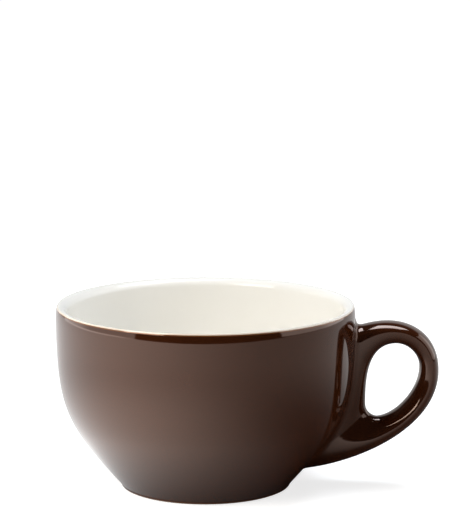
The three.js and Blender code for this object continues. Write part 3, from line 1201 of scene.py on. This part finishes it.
@dataclass(frozen=True)
class Softbox:
    """A studio lamp: where it stands, what it points at, its size in metres, how bright its face
    is and its colour."""

    name: str
    place: tuple[float, float, float]
    target: tuple[float, float, float]
    width: float
    height: float
    brightness: float
    colour: str = "#ffffff"
    watts_per_brightness: float = 4.0

    def build(self) -> None:
        """Makes the lamp, in metres in the part's frame."""
        lamp = bpy.data.lights.new(self.name, "AREA")
        lamp.shape = "RECTANGLE"
        lamp.size, lamp.size_y = self.width, self.height
        lamp.energy = self.watts_per_brightness * self.brightness * self.width * self.height
        lamp.color = linear(self.colour)[:3]
        made = bpy.data.objects.new(self.name, lamp)
        place = np.array(self.place)
        back = (place - self.target) / np.linalg.norm(place - self.target)
        right = np.cross((0, 0, 1), back)
        right /= np.linalg.norm(right)
        turn = np.eye(4)
        turn[:3, :3] = np.stack([right, np.cross(back, right), back], axis=1)
        turn[:3, 3] = place
        made.matrix_world = Matrix(turn.tolist())
        bpy.context.scene.collection.objects.link(made)


@dataclass(frozen=True)
class Studio:
    """A pale table, softboxes on both sides, near the left and overhead, a white backdrop low
    behind, a dark room in front, and the camera. The table's ramps, which also paint the pool of
    light and the cup's shadow that mirrored rays see on it, run with the distance from the bowl's
    axis in millimetres. The painted pool's side runs with the cosine of the turn from the lamps on
    the left, and the backdrop's ramps with the direction of sight."""

    table_x: tuple[float, float] = (-1500.0, 1500.0)
    table_y: tuple[float, float] = (-600.0, 2600.0)
    table_colour: str = "#e4e4e4"
    table_shown: Ramp = Ramp(120.0, 420.0, 0.72, 1.0)
    # Painted light that mirrored rays see on the table: a pool of light from the left, painted
    # shade round the foot and to the cup's right, and a painted glow that grows with the distance,
    # more of it behind.
    painted_pool_level: Ramp = Ramp(70.0, 230.0, 2.4, 1.4)
    painted_foot_shade: Ramp = Ramp(17.0, 64.0)
    painted_far_glow: Ramp = Ramp(30.0, 280.0, 0.0, 0.55)
    painted_pool_side: Ramp = Ramp(-1.0, 1.0)
    painted_glow_behind: float = 0.4
    painted_pool_fall: float = 2.0
    painted_pool_turn: float = math.radians(20)
    room: float = 0.02
    backdrop_turn: Ramp = Ramp(0.1, 0.4, 0.0, 0.7)
    backdrop_top: Ramp = Ramp(0.65, 0.45)
    sensor_mm: float = 36.0
    lens_mm: float = 189.26
    camera_x: float = 11.06
    camera_distance: float = 1000.0
    camera_rise: float = math.radians(12.949)
    camera_pitch: float = math.radians(10.015)
    camera_aim: float = 34.0
    softboxes: tuple[Softbox, ...] = (
        Softbox("left_softbox", (-0.45, 0.0, 0.14), (0.0, 0.0, 0.14), 0.7, 0.22, 1.0),
        Softbox("near_softbox", (-0.34, -0.3, 0.33), (-0.1, -0.05, 0.03), 0.3, 0.3, 5.5, "#fffaf2"),
        Softbox("top_softbox", (0.085, 0.075, 0.36), (0.05, 0.0, 0.06), 0.23, 0.15, 6.0, "#eef6ff"),
        Softbox("right_softbox", (0.5, 0.03, 0.25), (0.0, 0.03, 0.2), 0.74, 0.4, 1.0),
    )

    def painted_table_light(self, tree: NodeTree, centre_x: float) -> tuple[Node, Node]:
        """The table's own light. What mirrored rays see is painted light: a painted pool of light
        from the left, a level by the distance times a power of the turn towards the lamps there,
        faded out round the foot as painted shadow, plus a painted glow that grows with the
        distance, more of it behind the cup than in front.

        Args:
            tree: the table's tree.
            centre_x: where the bowl's axis stands.

        Returns:
            The level that the camera sees, and the painted light that mirrored rays see.
        """
        place = add_node(tree, "ShaderNodeTexCoord").outputs["Object"]
        ends = {0: place, 1: (centre_x * MM, 0, 0)}
        far = add_node(tree, "ShaderNodeVectorMath", ends, operation="DISTANCE").outputs["Value"]
        # close, clear and away carry the painted light: the pool's level, its painted shadow round
        # the foot, and the far glow.
        shown, close, clear, away = (
            add_node(tree, "ShaderNodeMapRange", {"Value": far, **ramp.limits(MM)}, **SMOOTH)
            for ramp in (self.table_shown, self.painted_pool_level, self.painted_foot_shade, self.painted_far_glow)
        )
        # The painted pool of light comes from the lamps' side: lamp is only the direction it is
        # painted from.
        offset = add_node(tree, "ShaderNodeVectorMath", ends, operation="SUBTRACT")
        outward = add_node(tree, "ShaderNodeVectorMath", {0: offset}, operation="NORMALIZE")
        lamp = (-math.cos(self.painted_pool_turn), -math.sin(self.painted_pool_turn), 0)
        turn = add_node(
            tree, "ShaderNodeVectorMath", {0: outward, 1: lamp}, operation="DOT_PRODUCT"
        ).outputs["Value"]
        facing = add_node(tree, "ShaderNodeMapRange", {"Value": turn, **self.painted_pool_side.limits()})
        fall = add_node(tree, "ShaderNodeMath", {0: facing, 1: self.painted_pool_fall}, operation="POWER")
        side = add_node(tree, "ShaderNodeMath", {0: fall, 1: close}, operation="MULTIPLY")
        # A painted glow that grows with the distance, brighter behind the cup.
        behind = add_node(tree, "ShaderNodeSeparateXYZ", {0: outward}).outputs["Y"]
        share = {0: behind, 1: self.painted_glow_behind, 2: 1.0}
        more = add_node(tree, "ShaderNodeMath", share, operation="MULTIPLY_ADD")
        around = add_node(tree, "ShaderNodeMath", {0: away, 1: more}, operation="MULTIPLY")
        # clear fades the painted pool out round the foot: painted shadow of the cup.
        both = {0: side, 1: clear, 2: around}
        return shown, add_node(tree, "ShaderNodeMath", both, operation="MULTIPLY_ADD")

    def table(self, centre_x: float) -> None:
        """Makes the table. Its matt face keeps the cup's shadow, and light of its own brings it up
        to white for the camera. Mirrored and clear rays see only its own light, a painted
        reflection:
        a pool of light from the left with painted shade round the foot and to the cup's right.

        Args:
            centre_x: where the bowl's axis stands.
        """
        across, along = np.meshgrid(self.table_x, self.table_y)
        skin = Skin()
        skin.add(np.stack([across, along, np.zeros_like(across)], axis=-1))
        piece = skin.build("table", 0.0)
        made = bpy.data.materials.new("white_table_painted_reflection")
        made.use_nodes = True
        tree = made.node_tree
        tree.nodes.clear()
        shown, painted_light_level = self.painted_table_light(tree, centre_x)
        path = add_node(tree, "ShaderNodeLightPath").outputs
        seen = {0: path["Is Camera Ray"], 1: shown}
        lift = add_node(tree, "ShaderNodeMath", seen, operation="MULTIPLY")
        glow = add_node(tree, "ShaderNodeEmission", {"Strength": lift})
        matt = add_node(tree, "ShaderNodeBsdfDiffuse", {"Color": linear(self.table_colour)})
        plain = add_node(tree, "ShaderNodeAddShader", {0: glow, 1: matt})
        # Painted reflection: mirrored and clear rays see this painted pool of light and shade
        # instead of the lit table.
        painted_reflection = add_node(tree, "ShaderNodeEmission", {"Strength": painted_light_level})
        rays = {0: path["Is Glossy Ray"], 1: path["Is Transmission Ray"]}
        mirrored = add_node(tree, "ShaderNodeMath", rays, operation="MAXIMUM")
        mixed = add_node(tree, "ShaderNodeMixShader", {0: mirrored, 1: plain, 2: painted_reflection})
        add_node(tree, "ShaderNodeOutputMaterial", {"Surface": mixed})
        piece.data.materials.append(made)

    def world(self) -> None:
        """A dark room with a white backdrop low behind the cup. Mirrored rays see the backdrop
        where it stands, and the camera and clear rays see white all round."""
        world = bpy.data.worlds.new("studio")
        world.use_nodes = True
        tree = world.node_tree
        tree.nodes.clear()
        path = add_node(tree, "ShaderNodeLightPath").outputs
        sight = add_node(tree, "ShaderNodeTexCoord").outputs["Generated"]
        towards = add_node(tree, "ShaderNodeSeparateXYZ", {0: sight}).outputs
        limits = ((towards["Y"], self.backdrop_turn), (towards["Z"], self.backdrop_top))
        behind, low = (
            add_node(tree, "ShaderNodeMapRange", {"Value": way, **ramp.limits()}, **SMOOTH)
            for way, ramp in limits
        )
        standing = add_node(tree, "ShaderNodeMath", {0: behind, 1: low}, operation="MULTIPLY")
        mirrored = {0: path["Is Glossy Ray"], 1: standing}
        level = add_node(tree, "ShaderNodeMath", mirrored, operation="MULTIPLY")
        for other in (path["Is Camera Ray"], path["Is Transmission Ray"], self.room):
            level = add_node(tree, "ShaderNodeMath", {0: level, 1: other}, operation="MAXIMUM")
        light = add_node(tree, "ShaderNodeBackground", {"Color": (1, 1, 1, 1), "Strength": level})
        add_node(tree, "ShaderNodeOutputWorld", {"Surface": light})
        bpy.context.scene.world = world

    def camera(self, centre_x: float) -> None:
        """Sets the camera at the photograph's viewing angle.

        Args:
            centre_x: where the bowl's axis stands.
        """
        lens = bpy.data.cameras.new("camera")
        lens.lens = self.lens_mm
        lens.sensor_width = self.sensor_mm
        made = bpy.data.objects.new("camera", lens)
        back = self.camera_distance * math.cos(self.camera_rise)
        up = self.camera_aim + self.camera_distance * math.sin(self.camera_rise)
        made.location = ((self.camera_x + centre_x) * MM, -back * MM, up * MM)
        made.rotation_euler = (math.pi / 2 - self.camera_pitch, 0, 0)
        bpy.context.scene.collection.objects.link(made)
        bpy.context.scene.camera = made

    def build(self, centre_x: float) -> None:
        """Makes everything round the cup.

        Args:
            centre_x: where the bowl's axis stands.
        """
        self.table(centre_x)
        self.world()
        for softbox in self.softboxes:
            softbox.build()
        self.camera(centre_x)
        bpy.context.scene.view_settings.view_transform = "Standard"


def main() -> None:
    """Builds the cup's pieces and the studio."""
    logging.basicConfig(level=logging.INFO)
    bowl = BowlForm()
    handle = HandleForm(bowl)
    centre_x = -handle.reach / 2
    brown = BrownGlaze().material()
    cream = CreamGlaze().material(centre_x)
    clay = BareClay().material()
    BrownCoat(bowl, handle).make(centre_x, brown)
    TurnedPieces(bowl).make(centre_x, brown, cream, clay)
    for name in ("handle", "joining_slip"):
        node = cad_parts[name]
        node.data.materials.clear()
        node.data.materials.append(clay)
        LOG.info("%s: kept, in bare clay", name)
    Studio().build(centre_x)


if __name__ == "__main__":
    main()
